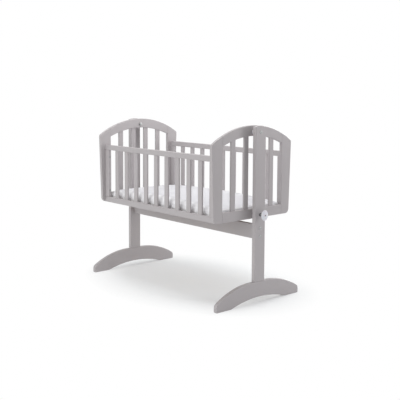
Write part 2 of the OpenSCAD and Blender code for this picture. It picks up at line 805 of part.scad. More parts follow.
module batten_screw_places() {
    for (i = [1:batten_screw_count])
        translate([(i - (batten_screw_count + 1) / 2) * batten_length / batten_screw_count,
                   side_in_y - batten_width, batten_screw_z]) children();
}

module batten_screw_shank() rod_y(0, 0, 0, batten_width + batten_screw_bite, batten_screw_diameter);

module batten(side) color(pine) at_side(side) difference() {
    translate([-batten_length / 2, side_in_y - batten_width, cradle_z])
        cube([batten_length, batten_width, batten_height]);
    batten_screw_places() {
        batten_screw_shank();
        rod_y(0, -overcut, 0, batten_screw_head_height + overcut, batten_screw_head);
    }
}

module batten_screws() color(zinc) for (side = [FRONT, REAR]) at_side(side) batten_screw_places() {
    batten_screw_shank();
    rod_y(0, 0, 0, batten_screw_head_height, batten_screw_head);
}

module base_board() color(hardboard) translate([0, 0, board_z + board_thickness / 2])
    cube([inner_length - 2 * board_gap, inner_width - 2 * board_gap, board_thickness], center = true);

// The mattress is built of rings of points, from its flat underside up the
// sides and in over the crown. Each ring is a rectangle with round corners.
corner_steps = 6;
long_steps = 12;
short_steps = 6;

function ring_corner(hx, hy, r, turn) =
    [for (i = [0:corner_steps]) let (a = turn + 90 * i / corner_steps)
        [sign(cos(turn + 45)) * (hx - r) + r * cos(a), sign(sin(turn + 45)) * (hy - r) + r * sin(a)]];

function between(a, b, steps) = [for (i = [1:steps - 1]) a + (b - a) * i / steps];

function ring_outline(hx, hy, r) = concat(
    ring_corner(hx, hy, r, 0), between([hx - r, hy], [r - hx, hy], long_steps),
    ring_corner(hx, hy, r, 90), between([-hx, hy - r], [-hx, r - hy], short_steps),
    ring_corner(hx, hy, r, 180), between([r - hx, -hy], [hx - r, -hy], long_steps),
    ring_corner(hx, hy, r, 270), between([hx, r - hy], [hx, hy - r], short_steps));

// Pulls a point in by up to mattress_pinch, most midway along a side
function pinched(p) =
    let (u = p[0] / mattress_half_x, v = p[1] / mattress_half_y)
    [p[0] - u * mattress_pinch * (1 - v * v), p[1] - v * mattress_pinch * (1 - u * u)];

function mattress_ring(inset, height, share) =
    [for (p = ring_outline(mattress_half_x - inset, mattress_half_y - inset, mattress_corner - inset))
        let (q = pinched(p) * share) [q[0], q[1], mattress_z + height]];

// A flat underside, sides that draw in at half thickness, and a crowned top
module mattress() color(cotton) {
    r = mattress_edge_radius;
    soft_edge = [[r, 0], [0.3 * r, 0.3 * r], [0, r]];
    lower_edge = [for (e = soft_edge) mattress_ring(e[0], e[1], 1)];
    wall = [for (f = [0.25, 0.5, 0.75])
        mattress_ring(mattress_waist * sin(180 * f), f * mattress_thickness, 1)];
    upper_edge = [for (i = [2, 1, 0])
        mattress_ring(soft_edge[i][0], mattress_thickness - soft_edge[i][1], 1)];
    crown = [for (f = [0.94, 0.82, 0.64, 0.42, 0.2])
        mattress_ring(r, mattress_thickness + mattress_crown * (1 - pow(f, 3)), f)];
    rings = concat(lower_edge, wall, upper_edge, crown);
    count = len(rings[0]);
    last = len(rings) * count;
    points = concat([for (ring = rings) each ring],
                    [[0, 0, mattress_z], [0, 0, mattress_z + mattress_thickness + mattress_crown]]);
    skin = [for (k = [0:len(rings) - 2], i = [0:count - 1])
        let (a = k * count + i, b = k * count + (i + 1) % count)
        each [[a, a + count, b], [b, a + count, b + count]]];
    underside = [for (i = [0:count - 1]) [last, i, (i + 1) % count]];
    top = [for (i = [0:count - 1]) [last + 1, last - count + (i + 1) % count, last - count + i]];
    polyhedron(points, concat(skin, underside, top), convexity = 4);
}

// Assembly -------------------------------------------------------------------

module placed() {
    translate([-box_mid_x, 0, 0]) children();
}

placed() post(LEFT);  // post_left
placed() post(RIGHT);  // post_right
placed() foot(LEFT);  // foot_left
placed() foot(RIGHT);  // foot_right
placed() stretcher();
placed() stretcher_bolts();
placed() stretcher_barrel_nuts();
placed() foot_screws();
placed() foot_dowels();
placed() pivot_bolts();
placed() pivot_spacers();
placed() pivot_washers();
placed() pivot_cap_nuts();
placed() pivot_bushes();
placed() lock_bush();
placed() lock_pin();
placed() lock_stop_ring();
placed() lock_knob();
placed() lock_eyelet();
placed() end_stile(LEFT, FRONT);  // left_end_front_stile
placed() end_stile(LEFT, REAR);  // left_end_rear_stile
placed() arch_rail(LEFT);  // left_end_arch_rail
placed() end_bottom_rail(LEFT);  // left_end_bottom_rail
placed() end_stile(RIGHT, FRONT);  // right_end_front_stile
placed() end_stile(RIGHT, REAR);  // right_end_rear_stile
placed() arch_rail(RIGHT);  // right_end_arch_rail
placed() end_bottom_rail(RIGHT);  // right_end_bottom_rail
for (i = [1:end_slat_count]) {
    placed() end_slat(LEFT, i);
    placed() end_slat(RIGHT, i);
}
placed() end_panel_dowels();
placed() side_rail(FRONT, true);  // front_top_rail
placed() side_rail(FRONT, false);  // front_bottom_rail
placed() side_stile(FRONT, LEFT);  // front_left_stile
placed() side_stile(FRONT, RIGHT);  // front_right_stile
placed() side_slats(FRONT);  // front_slats
placed() side_rail(REAR, true);  // rear_top_rail
placed() side_rail(REAR, false);  // rear_bottom_rail
placed() side_stile(REAR, LEFT);  // rear_left_stile
placed() side_stile(REAR, RIGHT);  // rear_right_stile
placed() side_slats(REAR);  // rear_slats
placed() side_panel_dowels();
placed() corner_bolts();
placed() corner_inserts();
placed() batten(FRONT);  // batten_front
placed() batten(REAR);  // batten_rear
placed() batten_screws();
placed() base_board();
placed() mattress();
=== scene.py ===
import math

import bmesh
import bpy
from mathutils import Matrix, Vector, noise


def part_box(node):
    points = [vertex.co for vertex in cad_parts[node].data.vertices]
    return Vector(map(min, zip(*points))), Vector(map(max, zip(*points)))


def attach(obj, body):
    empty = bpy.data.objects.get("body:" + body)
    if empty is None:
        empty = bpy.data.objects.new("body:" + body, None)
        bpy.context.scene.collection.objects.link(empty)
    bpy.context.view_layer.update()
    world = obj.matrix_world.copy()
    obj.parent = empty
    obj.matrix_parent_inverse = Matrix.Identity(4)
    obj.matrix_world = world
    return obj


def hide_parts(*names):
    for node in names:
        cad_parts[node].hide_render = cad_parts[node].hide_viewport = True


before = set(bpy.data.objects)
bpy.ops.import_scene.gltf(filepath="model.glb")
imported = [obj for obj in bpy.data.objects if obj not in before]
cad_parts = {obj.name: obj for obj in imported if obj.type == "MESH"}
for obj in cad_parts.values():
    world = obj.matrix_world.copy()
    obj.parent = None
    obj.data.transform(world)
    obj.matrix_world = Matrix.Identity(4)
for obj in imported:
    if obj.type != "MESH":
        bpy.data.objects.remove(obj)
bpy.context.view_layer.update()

# Feet -------------------------------------------------------------------------------------------
# Each foot is band-sawn from a 22 mm beech board and arched underneath, so that it stands on its
# two ends. The edges are rounded over by router and the board is sprayed with grey satin lacquer.

MM = 0.001
stretcher_low, stretcher_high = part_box("stretcher")
MIDDLE = (stretcher_low[0] + stretcher_high[0]) / 2

# The feet and the posts lie between these two distances from the stand's middle.
inner_face, outer_face = 501, 523
board_thickness = outer_face - inner_face
foot_top, foot_half_length, flat_half_length = 106, 287, 50
back_radius, tip_radius, heel_radius = 431, 20, 5
arch_half_span, arch_rise = 190, 29.5


def place(x, y, z):
    """A point in millimetres from the stand's middle, as Blender's metres."""
    return (MIDDLE + x * MM, y * MM, z * MM)


def only(piece):
    """Makes one piece the only one selected, and the active one. None leaves nothing selected."""
    if bpy.context.object and bpy.context.object.mode != "OBJECT":
        bpy.ops.object.mode_set(mode="OBJECT")
    bpy.ops.object.select_all(action="DESELECT")
    if piece:
        piece.select_set(True)
        bpy.context.view_layer.objects.active = piece


def new_piece(name):
    """Names what an operator has just added, fixes its place in its mesh and opens it to edit."""
    piece = bpy.context.object
    piece.name = piece.data.name = name
    bpy.ops.object.transform_apply(location=True, rotation=True, scale=True)
    bpy.ops.object.mode_set(mode="EDIT")
    return piece


def pen_at(name, x, y, z):
    """Starts an outline with one point."""
    only(None)
    bpy.ops.mesh.primitive_plane_add(size=MM, location=place(x, y, z))
    piece = new_piece(name)
    bpy.ops.mesh.select_mode(type="VERT")
    bpy.ops.mesh.merge(type="CENTER")
    return piece


def pen_place():
    """Where the pen stands: the Y and Z of the outline's one selected point."""
    points = bmesh.from_edit_mesh(bpy.context.object.data).verts
    point = next(vertex.co for vertex in points if vertex.select)
    return point.y / MM, point.z / MM


def line_to(point):
    """Draws a straight line from the pen to a point, which is given by its Y and Z."""
    y, z = pen_place()
    bpy.ops.mesh.extrude_vertices_move(
        TRANSFORM_OT_translate={"value": (0, (point[0] - y) * MM, (point[1] - z) * MM)})


def arc_to(point, centre, steps):
    """Draws an arc from the pen round a centre, until the pen is in line with a point."""
    y, z = pen_place()
    start = math.atan2(z - centre[1], y - centre[0])
    end = math.atan2(point[1] - centre[1], point[0] - centre[0])
    bpy.ops.mesh.spin(steps=steps, angle=start - end, center=place(0, *centre), axis=(1, 0, 0))


def circle_height(centre, radius, y):
    """How high the upper half of a circle stands at a place along Y."""
    return centre[1] + math.sqrt(radius ** 2 - (y - centre[0]) ** 2)


def mirror_across_y(piece):
    """Adds the other half of a piece that was drawn on one side of the middle."""
    only(piece)
    bpy.ops.object.modifier_add(type="MIRROR")
    piece.modifiers[0].use_axis = (False, True, False)
    piece.modifiers[0].merge_threshold = 0.02 * MM
    bpy.ops.object.modifier_apply(modifier=piece.modifiers[0].name)
    bpy.ops.object.mode_set(mode="EDIT")


# The outline runs from the middle of the flat that the post stands on, along the sloping back
# and round the tip, to the pad on the floor, and under the arch to the middle again.
back_centre = (flat_half_length, foot_top - back_radius)
tip_y = foot_half_length - tip_radius
tip_centre = (tip_y, circle_height(back_centre, back_radius - tip_radius, tip_y))
heel_centre = (foot_half_length - heel_radius, heel_radius)
foot_arch_radius = (arch_half_span ** 2 + arch_rise ** 2) / (2 * arch_rise)
left_foot = pen_at("left_foot_board", -outer_face, 0, foot_top)
line_to((flat_half_length, foot_top))
arc_to(tip_centre, back_centre, steps=16)
arc_to((foot_half_length, tip_centre[1]), tip_centre, steps=8)
line_to((foot_half_length, heel_radius))
arc_to((heel_centre[0], 0), heel_centre, steps=4)
line_to((arch_half_span, 0))
arc_to((0, arch_rise), (0, arch_rise - foot_arch_radius), steps=10)
mirror_across_y(left_foot)


def pick(piece, kind, wanted):
    """Selects the edges or faces of a piece in edit mode for which wanted says yes."""
    bpy.ops.mesh.select_mode(type=kind)
    bpy.ops.mesh.select_all(action="DESELECT")
    shape = bmesh.from_edit_mesh(piece.data)
    shape.normal_update()
    parts = shape.edges if kind == "EDGE" else shape.faces
    for part in parts:
        if wanted(part):
            part.select_set(True)
    bmesh.update_edit_mesh(piece.data)


def crack_round(piece, joint, width):
    """Raises the middle of a joint's faces, so that a hairline crack shows round the joint."""
    pick(piece, "FACE", joint)
    bpy.ops.mesh.inset(thickness=1.5 * MM)
    bpy.ops.mesh.extrude_region_shrink_fatten(TRANSFORM_OT_shrink_fatten={"value": width * MM})


def saw_out(piece, thickness, rounding, joint, crack=0):
    """Fills an outline, gives it its thickness and rounds its edges, less along the joints."""
    joint_rounding = 1.2
    bpy.ops.mesh.select_all(action="SELECT")
    bpy.ops.mesh.remove_doubles(threshold=0.02 * MM)
    bpy.ops.mesh.edge_face_add()
    bpy.ops.mesh.extrude_region_move(TRANSFORM_OT_translate={"value": (thickness * MM, 0, 0)})
    bpy.ops.mesh.select_all(action="SELECT")
    bpy.ops.mesh.normals_make_consistent(inside=False)

    def runs_round(edge):
        broad = [face for face in edge.link_faces if abs(face.normal.x) > 0.9]
        return len(broad) == 1 and not any(joint(face) for face in edge.link_faces)

    pick(piece, "EDGE", runs_round)
    bpy.ops.mesh.bevel(offset=rounding * MM, segments=4, profile=0.5)
    pick(piece, "EDGE", lambda edge: sum(joint(face) for face in edge.link_faces) == 1)
    bpy.ops.mesh.bevel(offset=joint_rounding * MM, segments=2, profile=0.5)
    if crack:
        crack_round(piece, joint, crack)
    bpy.ops.object.mode_set(mode="OBJECT")


saw_out(left_foot, board_thickness, 3, lambda face: False)


def cut_away(piece, cutter):
    """Cuts one shape out of another, and throws the cutter away."""
    only(piece)
    bpy.ops.object.modifier_add(type="BOOLEAN")
    piece.modifiers[0].operation = "DIFFERENCE"
    piece.modifiers[0].solver = "EXACT"
    piece.modifiers[0].object = cutter
    bpy.ops.object.modifier_apply(modifier=piece.modifiers[0].name)
    bpy.data.objects.remove(cutter)


# Two long screws go up through each foot into the post. Their heads sit in counterbores.
for y in (-21, 21):
    only(None)
    bpy.ops.mesh.primitive_cylinder_add(vertices=48, radius=6.3 * MM, depth=50 * MM,
                                        location=place(-512, y, 18.5))
    cut_away(left_foot, new_piece("counterbore"))


def copy_of(piece, name, x=1, y=1, shift=(0, 0, 0)):
    """A copy of a piece, moved, or flipped to the stand's other end (x=-1) or side (y=-1)."""
    only(piece)
    bpy.ops.object.duplicate(linked=False)
    copy = bpy.context.object
    copy.name = copy.data.name = name
    bpy.ops.object.mode_set(mode="EDIT")
    bpy.ops.mesh.select_all(action="SELECT")
    bpy.ops.transform.resize(value=(x, y, 1), center_override=(MIDDLE, 0, 0))
    bpy.ops.transform.translate(value=[part * MM for part in shift])
    if x * y < 0:
        bpy.ops.mesh.normals_make_consistent(inside=False)
    bpy.ops.object.mode_set(mode="OBJECT")
    return copy


right_foot = copy_of(left_foot, "right_foot_board", x=-1)


def linear(colour):
    """An sRGB hex colour as the linear colour that a socket takes."""
    parts = [int(colour[i:i + 2], 16) / 255 for i in (1, 3, 5)]
    return [p / 12.92 if p < 0.04045 else ((p + 0.055) / 1.055) ** 2.4 for p in parts] + [1]


def add(material, kind, inputs=None, **settings):
    """Adds a node with its settings. An input is a value, or the socket to link it to."""
    node = material.node_tree.nodes.new(kind)
    for name, value in settings.items():
        setattr(node, name, value)
    for name, value in (inputs or {}).items():
        if isinstance(value, bpy.types.NodeSocket):
            material.node_tree.links.new(value, node.inputs[name])
        else:
            node.inputs[name].default_value = value
    return node


def new_material(name):
    """An empty material, and its shader."""
    material = bpy.data.materials.new(name)
    material.use_nodes = True
    return material, material.node_tree.nodes["Principled BSDF"]


def grey_lacquer(along):
    """Water-based satin lacquer, sprayed in two coats over sanded beech.

    It looks flat and even, with a soft sheen. The grain shows only as long shallow ripples, and
    the spray leaves a fine orange peel. Real ripples are under 1 mm wide, and these are 3 mm."""
    ripple_length, ripple_width, peel_size, patch_size = 150 * MM, 3 * MM, 2.5 * MM, 120 * MM
    material, shader = new_material(f"satin lacquer on beech, grain along {along}")
    shader.inputs["Roughness"].default_value = 0.34
    shader.inputs["IOR"].default_value = 1.5
    coords = add(material, "ShaderNodeTexCoord").outputs["Object"]
    stretched = [1 / (ripple_length if axis == along else ripple_width) for axis in "XYZ"]
    grain = add(material, "ShaderNodeMapping", {"Vector": coords, "Scale": stretched})
    ripple = add(material, "ShaderNodeTexNoise",
                 {"Vector": grain.outputs["Vector"], "Scale": 1, "Detail": 3, "Roughness": 0.55})
    peel = add(material, "ShaderNodeTexNoise",
               {"Vector": coords, "Scale": 1 / peel_size, "Detail": 1})
    patches = add(material, "ShaderNodeTexNoise",
                  {"Vector": coords, "Scale": 1 / patch_size, "Detail": 2})
    tone = add(material, "ShaderNodeMix", {"Factor": patches.outputs["Fac"],
               "A": linear("#B4AFB0"), "B": linear("#B9B4B5")}, data_type="RGBA")
    grained = add(material, "ShaderNodeMix", {"Factor": ripple.outputs["Fac"],
                  "A": tone.outputs[2], "B": linear("#B3AEAF")}, data_type="RGBA")
    material.node_tree.links.new(grained.outputs[2], shader.inputs["Base Color"])
    low = add(material, "ShaderNodeBump",
              {"Height": ripple.outputs["Fac"], "Distance": 0.03 * MM, "Strength": 0.1})
    fine = add(material, "ShaderNodeBump", {"Height": peel.outputs["Fac"],
               "Distance": 0.02 * MM, "Strength": 0.3, "Normal": low.outputs["Normal"]})
    material.node_tree.links.new(fine.outputs["Normal"], shader.inputs["Normal"])
    return material


def finish(piece, material, body, node):
    """Shades a piece, gives it its material and puts it in the frame for its CAD node."""
    only(piece)
    bpy.ops.object.shade_smooth_by_angle(angle=math.radians(35))
    bpy.ops.object.modifier_add(type="WEIGHTED_NORMAL")
    piece.modifiers[0].keep_sharp = True
    bpy.ops.object.modifier_apply(modifier=piece.modifiers[0].name)
    piece.data.materials.clear()
    piece.data.materials.append(material)
    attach(piece, body)
    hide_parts(node)


lacquer_x, lacquer_y, lacquer_z = (grey_lacquer(axis) for axis in "XYZ")
finish(left_foot, lacquer_y, "stand", "foot_left")
finish(right_foot, lacquer_y, "stand", "foot_right")

# Posts ------------------------------------------------------------------------------------------
# A post is a 70 x 22 mm beech board with a gently curved top and rounded edges. It is doweled and
# screwed on the flat middle of its foot, and is sprayed with the same lacquer.

post_top, post_top_radius, half_post = 876, 100, 35
pivot_height, lock_height = 844, 439
bolt_heights = (331.5, 372.5)
bolt_hole = 6.6

# A joint's face stands back this far, and a crack is left round its raised middle.
joint_gap, crack_depth = 0.4, 0.7


def rod(name, x0, x1, y, z, diameter, sides=48):
    """A plain round rod along X, as a start."""
    only(None)
    bpy.ops.mesh.primitive_cylinder_add(
        vertices=sides, radius=diameter / 2 * MM, depth=(x1 - x0) * MM,
        location=place((x0 + x1) / 2, y, z), rotation=(0, math.pi / 2, 0))
    return new_piece(name)


def drill(piece, x0, x1, y, z, diameter):
    """Drills a hole along X, from one point in the air to another, or to the hole's end."""
    cut_away(piece, rod("drill", x0, x1, y, z, diameter))


post_top_centre = (0, post_top - post_top_radius)
left_post = pen_at("left_post_board", -outer_face, 0, post_top)
arc_to((half_post, circle_height(post_top_centre, post_top_radius, half_post)),
       post_top_centre, steps=8)
line_to((half_post, foot_top + joint_gap))
line_to((0, foot_top + joint_gap))
mirror_across_y(left_post)
saw_out(left_post, board_thickness, 3, lambda face: face.normal.z < -0.9, crack=crack_depth)
for height in bolt_heights:
    drill(left_post, -530, -490, 0, height, bolt_hole)
drill(left_post, -530, -490, 0, pivot_height, 8.6)

right_post = copy_of(left_post, "right_post_board", x=-1)
drill(right_post, 490, 530, 0, lock_height, 12.1)
finish(left_post, lacquer_z, "stand", "post_left")
finish(right_post, lacquer_z, "stand", "post_right")

# Stretcher --------------------------------------------------------------------------------------
# One 74 x 18 mm board ties the posts together. Two bolts at each end run through the post into
# barrel nuts, which lie in holes that open on the board's rear face.


def bar(name, low, high, along, rounding, ends=0.5, crack=0):
    """A straight planed bar between two corners: long edges rounded, ends just broken."""
    only(None)
    middle = [(a + b) / 2 for a, b in zip(low, high)]
    size = [(b - a) * MM for a, b in zip(low, high)]
    bpy.ops.mesh.primitive_cube_add(size=1, location=place(*middle), scale=size)
    piece = new_piece(name)
    axis = "XYZ".index(along)

    def is_long(edge):
        run = edge.verts[1].co - edge.verts[0].co
        return abs(run[axis]) > 0.99 * run.length

    pick(piece, "EDGE", is_long)
    bpy.ops.mesh.bevel(offset=rounding * MM, segments=4, profile=0.5)
    pick(piece, "EDGE",
         lambda edge: sum(abs(face.normal[axis]) > 0.9 for face in edge.link_faces) == 1)
    bpy.ops.mesh.bevel(offset=ends * MM, segments=2, profile=0.5)
    if crack:
        crack_round(piece, lambda face: abs(face.normal[axis]) > 0.99, crack)
    bpy.ops.object.mode_set(mode="OBJECT")
    return piece


stretcher = bar("stretcher_board", (-inner_face, -9, 315), (inner_face, 9, 389), "X", 3)
for end in (-1, 1):
    for height in bolt_heights:
        drill(stretcher, *sorted((end * 459, end * 502)), 0, height, bolt_hole)
        only(None)
        bpy.ops.mesh.primitive_cylinder_add(vertices=48, radius=5 * MM, depth=20 * MM,
                                            location=place(end * 469, 3, height),
                                            rotation=(math.pi / 2, 0, 0))
        cut_away(stretcher, new_piece("nut hole"))
finish(stretcher, lacquer_x, "stand", "stretcher")

# Stretcher bolts --------------------------------------------------------------------------------
# Four low furniture bolts with round heads and hexagon sockets, of steel with a pale zinc plate.
# Their heads lie on the outside of the posts.


def zinc_plate():
    """Zinc plate on turned steel, passivated.

    It gives a pale satin shine, with a soft mottle from the bath and fine scratches, here 0.4 mm
    apart."""
    mottle_size, scratch_size = 3 * MM, 0.4 * MM
    material, shader = new_material("zinc plate on turned steel")
    shader.inputs["Metallic"].default_value = 1
    coords = add(material, "ShaderNodeTexCoord").outputs["Object"]
    mottle = add(material, "ShaderNodeTexNoise",
                 {"Vector": coords, "Scale": 1 / mottle_size, "Detail": 3})
    tone = add(material, "ShaderNodeMix", {"Factor": mottle.outputs["Fac"],
               "A": linear("#A4A6A6"), "B": linear("#B6B8B7")}, data_type="RGBA")
    material.node_tree.links.new(tone.outputs[2], shader.inputs["Base Color"])
    gloss = add(material, "ShaderNodeMapRange",
                {"Value": mottle.outputs["Fac"], "To Min": 0.55, "To Max": 0.65})
    material.node_tree.links.new(gloss.outputs["Result"], shader.inputs["Roughness"])
    scratch = add(material, "ShaderNodeTexNoise",
                  {"Vector": coords, "Scale": 1 / scratch_size, "Detail": 1})
    bump = add(material, "ShaderNodeBump",
               {"Height": scratch.outputs["Fac"], "Distance": 0.01 * MM, "Strength": 0.4})
    material.node_tree.links.new(bump.outputs["Normal"], shader.inputs["Normal"])
    return material


def socket_bolt(name, face_x, y, z, head, shank, length):
    """A bolt whose head stands on the face at face_x and points along +X."""
    height = 2.5
    bolt = rod(name, face_x, face_x + height, y, z, head)
    pick(bolt, "FACE", lambda face: face.normal.x < -0.9)
    bpy.ops.mesh.inset(thickness=(head - shank) / 2 * MM)
    bpy.ops.mesh.extrude_region_move(TRANSFORM_OT_translate={"value": (-length * MM, 0, 0)})
    pick(bolt, "EDGE", lambda edge: sum(face.normal.x > 0.9 for face in edge.link_faces) == 1)
    bpy.ops.mesh.bevel(offset=height * 0.4 * MM, segments=3, profile=0.5)
    bpy.ops.object.mode_set(mode="OBJECT")
    cut_away(bolt, rod("socket", face_x + height * 0.3, face_x + height + 2, y, z,
                       shank * 0.77, sides=6))
    return bolt


def join(name, pieces):
    """Makes one mesh of several."""
    only(pieces[0])
    for piece in pieces:
        piece.select_set(True)
    bpy.ops.object.join()
    pieces[0].name = pieces[0].data.name = name
    return pieces[0]


zinc = zinc_plate()
upper = socket_bolt("upper bolt", outer_face, 0, bolt_heights[1],
                    head=16, shank=6, length=64)
lower = copy_of(upper, "lower bolt", shift=(0, 0, bolt_heights[0] - bolt_heights[1]))
right_pair = join("right bolts", [upper, lower])
left_pair = copy_of(right_pair, "left bolts", x=-1)
stretcher_bolts = join("stretcher_bolt_set", [right_pair, left_pair])
finish(stretcher_bolts, zinc, "stand", "stretcher_bolts")

# Barrel nuts, foot screws and foot dowels -------------------------------------------------------
# These are hidden in the wood, but for the nuts' ends at the back of the stretcher and the screws'
# heads under the feet. The CAD parts stay, with steel and beech as their materials.


def plain_steel(name, dark, light):
    """Turned steel with a thin oil film.

    It shines a little more than the zinc plate, and the lathe leaves fine lines across it, here
    0.6 mm apart."""
    line_width, line_length = 0.6 * MM, 20 * MM
    material, shader = new_material(name)
    shader.inputs["Metallic"].default_value = 1
    coords = add(material, "ShaderNodeTexCoord").outputs["Object"]
    stretched = (1 / line_width, 1 / line_length, 1 / line_length)
    lines = add(material, "ShaderNodeMapping", {"Vector": coords, "Scale": stretched})
    turning = add(material, "ShaderNodeTexNoise",
                  {"Vector": lines.outputs["Vector"], "Scale": 1, "Detail": 2})
    tone = add(material, "ShaderNodeMix", {"Factor": turning.outputs["Fac"], "A": linear(dark),
               "B": linear(light)}, data_type="RGBA")
    material.node_tree.links.new(tone.outputs[2], shader.inputs["Base Color"])
    gloss = add(material, "ShaderNodeMapRange",
                {"Value": turning.outputs["Fac"], "To Min": 0.25, "To Max": 0.4})
    material.node_tree.links.new(gloss.outputs["Result"], shader.inputs["Roughness"])
    return material


def bare_wood(name, early, late, along, grain_width, roughness):
    """Planed or turned wood without a finish.

    It is dull, with bands along its length between an early and a late wood colour, and fine
    pores. The bands are forty times as long as they are wide."""
    material, shader = new_material(name)
    shader.inputs["Roughness"].default_value = roughness
    shader.inputs["IOR"].default_value = 1.5
    coords = add(material, "ShaderNodeTexCoord").outputs["Object"]
    stretched = [1 / (grain_width * 40 if axis == along else grain_width) for axis in "XYZ"]
    grain = add(material, "ShaderNodeMapping", {"Vector": coords, "Scale": stretched})
    bands = add(material, "ShaderNodeTexNoise", {"Vector": grain.outputs["Vector"], "Scale": 1,
                "Detail": 4, "Roughness": 0.6, "Distortion": 0.4})
    tone = add(material, "ShaderNodeMix", {"Factor": bands.outputs["Fac"], "A": linear(early),
               "B": linear(late)}, data_type="RGBA")
    material.node_tree.links.new(tone.outputs[2], shader.inputs["Base Color"])
    bump = add(material, "ShaderNodeBump",
               {"Height": bands.outputs["Fac"], "Distance": 0.1 * MM, "Strength": 0.5})
    material.node_tree.links.new(bump.outputs["Normal"], shader.inputs["Normal"])
    return material


def dress(node, material):
    """Gives a CAD part that stays its material."""
    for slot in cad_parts[node].material_slots:
        slot.material = material


steel = plain_steel("machined steel", "#A5A5A1", "#BEBEBB")
beech_y, beech_z = (bare_wood(f"turned beech dowel, grain along {axis}", "#E0C29B", "#C9A67C",
                              axis, 0.8 * MM, 0.6) for axis in "YZ")
dress("stretcher_barrel_nuts", steel)
dress("foot_screws", steel)
dress("foot_dowels", beech_z)

# Pivots -----------------------------------------------------------------------------------------
# At each end one bolt goes from the outside through the post, a nylon spacer and the nylon bush in
# the arch rail. Inside the cradle a washer and a domed cap nut close it.


def moulded_nylon(name, one, other, roughness):
    """Injection-moulded nylon.

    Its colour varies a little between two tones. It has a waxy shine, and the mould leaves a
    fine texture on it, 0.3 mm wide."""
    patch_size, texture_size = 8 * MM, 0.3 * MM
    material, shader = new_material(name)
    shader.inputs["IOR"].default_value = 1.53
    shader.inputs["Subsurface Weight"].default_value = 0.05
    shader.inputs["Subsurface Scale"].default_value = 2 * MM
    coords = add(material, "ShaderNodeTexCoord").outputs["Object"]
    patches = add(material, "ShaderNodeTexNoise",
                  {"Vector": coords, "Scale": 1 / patch_size, "Detail": 2})
    tone = add(material, "ShaderNodeMix", {"Factor": patches.outputs["Fac"], "A": linear(one),
               "B": linear(other)}, data_type="RGBA")
    material.node_tree.links.new(tone.outputs[2], shader.inputs["Base Color"])
    gloss = add(material, "ShaderNodeMapRange", {"Value": patches.outputs["Fac"],
                "To Min": roughness - 0.05, "To Max": roughness + 0.05})
    material.node_tree.links.new(gloss.outputs["Result"], shader.inputs["Roughness"])
    skin = add(material, "ShaderNodeTexNoise",
               {"Vector": coords, "Scale": 1 / texture_size, "Detail": 1})
    bump = add(material, "ShaderNodeBump",
               {"Height": skin.outputs["Fac"], "Distance": 0.02 * MM, "Strength": 0.5})
    material.node_tree.links.new(bump.outputs["Normal"], shader.inputs["Normal"])
    return material


def turned(name, z, profile):
    """A part from the lathe. The profile is its half section: pairs of X and the radius there."""
    start_x, start_radius = profile[0]
    piece = pen_at(name, start_x, 0, z + start_radius)
    for (x0, r0), (x1, r1) in zip(profile, profile[1:] + profile[:1]):
        bpy.ops.mesh.extrude_vertices_move(
            TRANSFORM_OT_translate={"value": ((x1 - x0) * MM, 0, (r1 - r0) * MM)})
    bpy.ops.mesh.select_all(action="SELECT")
    bpy.ops.mesh.remove_doubles(threshold=0.005 * MM)
    bpy.ops.mesh.select_all(action="SELECT")
    bpy.ops.mesh.spin(steps=48, angle=2 * math.pi, center=place(0, 0, z), axis=(1, 0, 0))
    bpy.ops.mesh.select_all(action="SELECT")
    bpy.ops.mesh.remove_doubles(threshold=0.005 * MM)
    bpy.ops.mesh.select_all(action="SELECT")
    bpy.ops.mesh.normals_make_consistent(inside=False)
    bpy.ops.object.mode_set(mode="OBJECT")
    return piece


def both_ends(name, piece):
    """The piece and its mirror image at the other end, as one mesh."""
    return join(name, [piece, copy_of(piece, "other end", x=-1)])


white_nylon = moulded_nylon("moulded nylon, natural white", "#E9E9EE", "#E1E1E7", 0.4)

pivot_bolt = socket_bolt("bolt", outer_face, 0, pivot_height,
                         head=17, shank=8, length=77)
pivot_bolts = both_ends("pivot_bolt_pair", pivot_bolt)
finish(pivot_bolts, zinc, "stand", "pivot_bolts")

spacers = both_ends("pivot_spacer_pair", turned("spacer", pivot_height, [
    (474.5, 4.3), (474.5, 11.4), (474.7, 11.8), (475.1, 12), (477, 12), (478.5, 11.4),
    (487, 11.2), (496.5, 11.4), (498, 12), (500.4, 12), (500.8, 11.8), (501, 11.4), (501, 4.3)]))
finish(spacers, white_nylon, "stand", "pivot_spacers")

bushes = both_ends("pivot_bush_pair", turned("bush", pivot_height, [
    (454, 4.05), (454, 6.75), (454.3, 7.05), (472, 7.05), (472, 12), (473.4, 12), (473.8, 11.8),
    (474, 11.4), (474, 4.05)]))
finish(bushes, white_nylon, "cradle", "pivot_bushes")

washers = both_ends("pivot_washer_pair", turned("washer", pivot_height, [
    (452, 4.3), (452, 8.7), (452.1, 8.9), (452.3, 9), (453.5, 9), (453.5, 4.3)]))
finish(washers, steel, "stand", "pivot_washers")

cap_nuts = both_ends("pivot_cap_nut_pair", turned("cap nut", pivot_height, [
    (452, 4), (452, 8), (447, 8), (446.2, 7.85), (445.4, 7.3), (444.8, 6.3), (444.35, 4.8),
    (444.1, 2.8), (444, 0), (446, 0), (446, 4)]))
finish(cap_nuts, zinc, "stand", "pivot_cap_nuts")

# Locking pin ------------------------------------------------------------------------------------
# A steel pin slides in a black nylon bush in the right post, and a stop ring keeps it from coming
# out. Pushed in, its tip would enter the black eyelet in the cradle. The knob is white nylon.

# Black nylon with a matt mould finish looks charcoal in even light.
black_nylon = moulded_nylon("moulded nylon, black", "#5A595A", "#646364", 0.55)

lock_bush = turned("lock_bush_sleeve", lock_height, [
    (501, 4.05), (501, 6.05), (523, 6.05), (523, 8.05), (524.4, 8.05), (524.8, 7.9), (525, 7.5),
    (525, 4.4), (524.7, 4.05)])
finish(lock_bush, black_nylon, "stand", "lock_bush")

